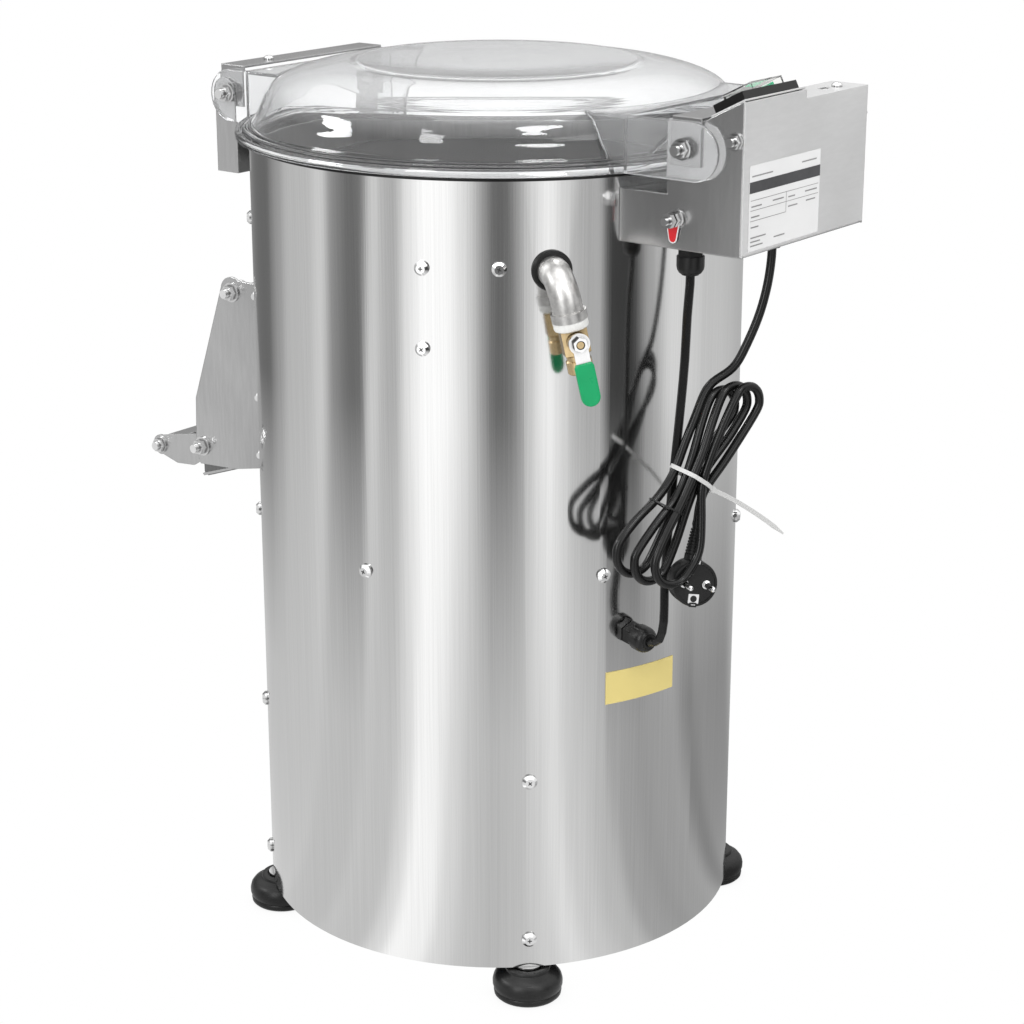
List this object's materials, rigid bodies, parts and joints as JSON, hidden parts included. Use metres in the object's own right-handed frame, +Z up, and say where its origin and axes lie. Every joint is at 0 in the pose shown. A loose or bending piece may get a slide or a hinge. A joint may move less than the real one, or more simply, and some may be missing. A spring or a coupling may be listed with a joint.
{
  "type": "electric potato peeler",
  "caption": "Floor-standing belt-driven potato peeler: steel drum on rubber feet, clear hinged lid, side discharge chute, water inlet valve and control box with coiled mains lead.",
  "frame": {"origin": "on the drum's axis, at floor level between the feet", "axes": "+Z up along the drum's axis, +X towards the control box, -X towards the discharge chute, -Y the water inlet side"},
  "size_m": [0.6611, 0.4769, 0.8013],
  "materials": {
    "drum_steel": "fine vertical brushing",
    "black_rubber": "matte",
    "liner_steel": "satin",
    "abrasive": "coarse grit",
    "plain_steel": "satin",
    "dark_steel": "satin",
    "fastener_steel": "plain",
    "drain_plastic": "matte",
    "cast_housing": "as cast",
    "pulley_iron": "machined",
    "motor_paint": "semi-gloss",
    "sheet_steel": "brushed",
    "clear_lid": "clear polycarbonate",
    "black_plastic": "gloss",
    "green_plastic": "gloss",
    "clear_boot": "soft clear PVC",
    "gland_plastic": "matte",
    "cable_sheath": "smooth",
    "plug_rubber": "moulded",
    "tie_plastic": "smooth",
    "elbow_steel": "cast satin",
    "valve_brass": "machined",
    "green_sleeve": "dipped vinyl"
  },
  "bodies": {
    "machine": {"drum_shell": "drum_steel", "drum_seal": "black_rubber", "chamber_wall": "liner_steel", "abrasive_lining": "abrasive", "chamber_floor": "plain_steel", "legs": "dark_steel", "feet": "black_rubber", "foot_studs": "fastener_steel", "foot_bolts": "fastener_steel", "drum_screws": "fastener_steel", "drain_pipe": "drain_plastic", "bearing_housing": "cast_housing", "bearings": "fastener_steel", "shaft_seal": "black_rubber", "motor": "motor_paint", "motor_deck": "dark_steel", "drive_belt": "black_rubber", "chute": "sheet_steel", "chute_screws": "fastener_steel", "door_pin": "fastener_steel", "lever_bolts": "fastener_steel", "lid_catch": "sheet_steel", "box_shell": "sheet_steel", "box_cover": "sheet_steel", "box_screws": "fastener_steel", "earth_stud": "fastener_steel", "hinge_strap": "sheet_steel", "hinge_bolts": "fastener_steel", "switch_bezel": "black_plastic", "switch_boot": "clear_boot", "box_gland": "gland_plastic", "drum_gland": "gland_plastic", "mains_bushing": "gland_plastic", "motor_cable": "cable_sheath", "mains_lead": "cable_sheath", "cord_hank": "cable_sheath", "mains_plug": "plug_rubber", "cable_tie": "tie_plastic", "inlet_grommet": "black_rubber", "inlet_elbow": "elbow_steel", "spray_nozzle": "fastener_steel", "valve_body": "valve_brass"},
    "discharge_door": {"door": "sheet_steel", "door_gasket": "black_rubber"},
    "door_lever_arm": {"door_lever": "sheet_steel", "lever_rod": "fastener_steel"},
    "turntable_rotor": {"drive_shaft": "fastener_steel", "turntable": "abrasive", "hub_nut": "fastener_steel", "large_pulley": "pulley_iron"},
    "motor_rotor": {"motor_shaft": "fastener_steel", "motor_pulley": "pulley_iron"},
    "lid_cover": {"lid": "clear_lid", "front_strap": "sheet_steel", "latch_bolts": "fastener_steel"},
    "bail": {"latch_bail": "sheet_steel"},
    "rocker": {"switch_rocker": "green_plastic"},
    "valve_lever": {"valve_handle": "fastener_steel", "handle_sleeve": "green_sleeve"}
  },
  "joints": [
    {"name": "lid_hinge", "type": "hinge", "parent": "machine", "child": "lid_cover", "pos_m": [0.259, 0, 0.749], "axis": [0, 1, 0], "range_deg": [0, 90]},
    {"name": "bail_swing", "type": "hinge", "parent": "lid_cover", "child": "bail", "pos_m": [-0.226, 0, 0.749], "axis": [0, 1, 0], "range_deg": [0, 75]},
    {"name": "door_hinge", "type": "hinge", "parent": "machine", "child": "discharge_door", "pos_m": [-0.234, 0, 0.5665], "axis": [0, 1, 0], "range_deg": [0, 75]},
    {"name": "lever_turn", "type": "hinge", "parent": "machine", "child": "door_lever_arm", "pos_m": [-0.279, 0, 0.412], "axis": [0, 1, 0], "range_deg": [0, 30]},
    {"name": "turntable_spin", "type": "hinge", "parent": "machine", "child": "turntable_rotor", "pos_m": [0, 0, 0.41], "axis": [0, 0, 1], "continuous": true},
    {"name": "motor_spin", "type": "hinge", "parent": "machine", "child": "motor_rotor", "pos_m": [-0.132, 0, 0.258], "axis": [0, 0, 1], "continuous": true},
    {"name": "valve_turn", "type": "hinge", "parent": "machine", "child": "valve_lever", "pos_m": [0.19623, -0.15365, 0.60016], "axis": [0.7604, -0.6494, 0], "range_deg": [0, 90]},
    {"name": "rocker_tilt", "type": "hinge", "parent": "machine", "child": "rocker", "pos_m": [0.29271, -0.049, 0.78601], "axis": [0.8916, 0, 0.4529], "range_deg": [-9, 0]}
  ],
  "couplings": [
    {"joint": "motor_spin", "follows": "turntable_spin", "ratio": 3.6383}
  ]
}
